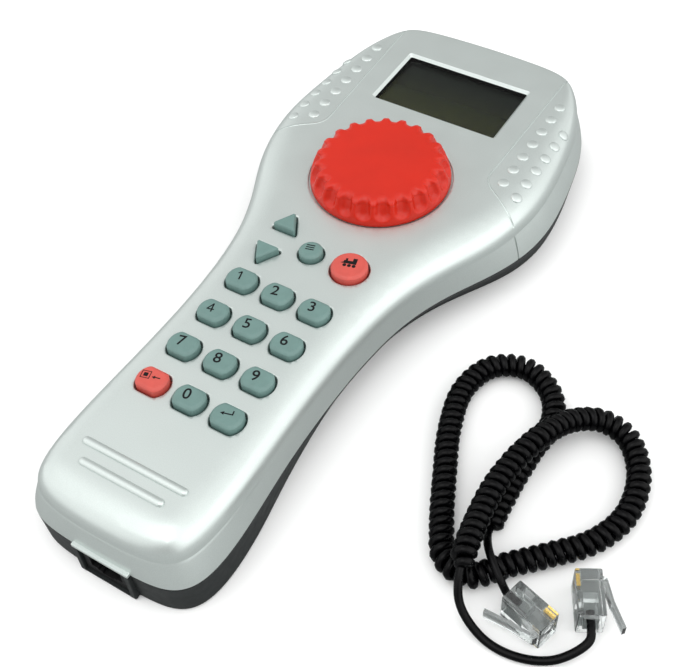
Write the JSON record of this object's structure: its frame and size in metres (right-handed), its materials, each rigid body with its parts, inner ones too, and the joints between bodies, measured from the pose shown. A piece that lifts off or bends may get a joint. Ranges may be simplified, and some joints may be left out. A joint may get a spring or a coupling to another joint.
{
  "type": "train set controller",
  "caption": "Hand-held model railway controller with a turning speed knob, travelling keys, a display and a plug-in coiled cord lying beside it.",
  "frame": {"origin": "on the flat resting face of the rear shell, on the controller's centre line, midway along its length", "axes": "+X across the handset, +Y from the cord socket towards the display, +Z out of the key face"},
  "size_m": [0.1662, 0.2138, 0.0345],
  "materials": {
    "silver_shell": "satin",
    "dark_shell": "satin",
    "knob_red": "satin",
    "key_grey": "satin",
    "key_red": "satin",
    "black_plastic": "satin",
    "cord_black": "gloss",
    "clear_plastic": "clear",
    "display_glass": "gloss",
    "diffuser": "matte",
    "board": "satin",
    "ribbon": "satin",
    "silicone": "matte",
    "steel": "satin",
    "gold": "polished"
  },
  "bodies": {
    "housing": {"front_shell": "silver_shell", "rear_shell": "dark_shell", "display_window": "clear_plastic", "display_panel": "display_glass", "display_frame": "steel", "backlight": "diffuser", "display_board": "board", "ribbon_cable": "ribbon", "encoder_body": "steel", "encoder_washer": "steel", "encoder_nut": "steel", "main_board": "board", "microcontroller": "black_plastic", "line_driver": "black_plastic", "supply_capacitor": "black_plastic", "crystal": "steel", "modular_jack": "black_plastic", "keypad_mat": "silicone", "housing_screw_1": "steel", "housing_screw_2": "steel", "housing_screw_3": "steel", "housing_screw_4": "steel", "housing_screw_5": "steel", "housing_screw_6": "steel", "board_screw_1": "steel", "board_screw_2": "steel", "board_screw_3": "steel", "board_screw_4": "steel"},
    "knob": {"speed_knob": "knob_red", "knob_shaft": "steel"},
    "key_stop_body": {"key_stop": "key_red"},
    "key_0_body": {"key_0": "key_grey"},
    "key_enter_body": {"key_enter": "key_grey"},
    "key_7_body": {"key_7": "key_grey"},
    "key_8_body": {"key_8": "key_grey"},
    "key_9_body": {"key_9": "key_grey"},
    "key_4_body": {"key_4": "key_grey"},
    "key_5_body": {"key_5": "key_grey"},
    "key_6_body": {"key_6": "key_grey"},
    "key_1_body": {"key_1": "key_grey"},
    "key_2_body": {"key_2": "key_grey"},
    "key_3_body": {"key_3": "key_grey"},
    "key_menu_body": {"key_menu": "key_grey"},
    "key_engine_body": {"key_engine": "key_red"},
    "key_up_body": {"key_up": "key_grey"},
    "key_down_body": {"key_down": "key_grey"},
    "cord_set": {"cord": "cord_black", "plug_a_body": "clear_plastic", "plug_a_contact_1": "gold", "plug_a_contact_2": "gold", "plug_a_contact_3": "gold", "plug_a_contact_4": "gold", "plug_b_body": "clear_plastic", "plug_b_contact_1": "gold", "plug_b_contact_2": "gold", "plug_b_contact_3": "gold", "plug_b_contact_4": "gold"},
    "plug_a_latch_body": {"plug_a_latch": "clear_plastic"},
    "plug_b_latch_body": {"plug_b_latch": "clear_plastic"}
  },
  "joints": [
    {"name": "knob_turn", "type": "hinge", "parent": "housing", "child": "knob", "pos_m": [0, 0.0324, 0.03], "axis": [0, 0, 1], "continuous": true},
    {"name": "key_stop_press", "type": "slide", "parent": "housing", "child": "key_stop_body", "axis": [0, 0, -1], "range_m": [0, 0.001]},
    {"name": "key_0_press", "type": "slide", "parent": "housing", "child": "key_0_body", "axis": [0, 0, -1], "range_m": [0, 0.001]},
    {"name": "key_enter_press", "type": "slide", "parent": "housing", "child": "key_enter_body", "axis": [0, 0, -1], "range_m": [0, 0.001]},
    {"name": "key_7_press", "type": "slide", "parent": "housing", "child": "key_7_body", "axis": [0, 0, -1], "range_m": [0, 0.001]},
    {"name": "key_8_press", "type": "slide", "parent": "housing", "child": "key_8_body", "axis": [0, 0, -1], "range_m": [0, 0.001]},
    {"name": "key_9_press", "type": "slide", "parent": "housing", "child": "key_9_body", "axis": [0, 0, -1], "range_m": [0, 0.001]},
    {"name": "key_4_press", "type": "slide", "parent": "housing", "child": "key_4_body", "axis": [0, 0, -1], "range_m": [0, 0.001]},
    {"name": "key_5_press", "type": "slide", "parent": "housing", "child": "key_5_body", "axis": [0, 0, -1], "range_m": [0, 0.001]},
    {"name": "key_6_press", "type": "slide", "parent": "housing", "child": "key_6_body", "axis": [0, 0, -1], "range_m": [0, 0.001]},
    {"name": "key_1_press", "type": "slide", "parent": "housing", "child": "key_1_body", "axis": [0, 0, -1], "range_m": [0, 0.001]},
    {"name": "key_2_press", "type": "slide", "parent": "housing", "child": "key_2_body", "axis": [0, 0, -1], "range_m": [0, 0.001]},
    {"name": "key_3_press", "type": "slide", "parent": "housing", "child": "key_3_body", "axis": [0, 0, -1], "range_m": [0, 0.001]},
    {"name": "key_menu_press", "type": "slide", "parent": "housing", "child": "key_menu_body", "axis": [0, 0, -1], "range_m": [0, 0.001]},
    {"name": "key_engine_press", "type": "slide", "parent": "housing", "child": "key_engine_body", "axis": [0, 0, -1], "range_m": [0, 0.001]},
    {"name": "key_up_press", "type": "slide", "parent": "housing", "child": "key_up_body", "axis": [0, 0, -1], "range_m": [0, 0.001]},
    {"name": "key_down_press", "type": "slide", "parent": "housing", "child": "key_down_body", "axis": [0, 0, -1], "range_m": [0, 0.001]},
    {"name": "cord_lift", "type": "slide", "parent": "housing", "child": "cord_set", "axis": [0, 0, 1], "range_m": [0, 0.04]},
    {"name": "plug_a_latch_flex", "type": "hinge", "parent": "cord_set", "child": "plug_a_latch_body", "pos_m": [0.10064, -0.06803, 0.0049], "axis": [0, 0, -1], "range_deg": [0, 11]},
    {"name": "plug_b_latch_flex", "type": "hinge", "parent": "cord_set", "child": "plug_b_latch_body", "pos_m": [0.10876, -0.04582, 0.0049], "axis": [0, 0, -1], "range_deg": [0, 11]}
  ]
}
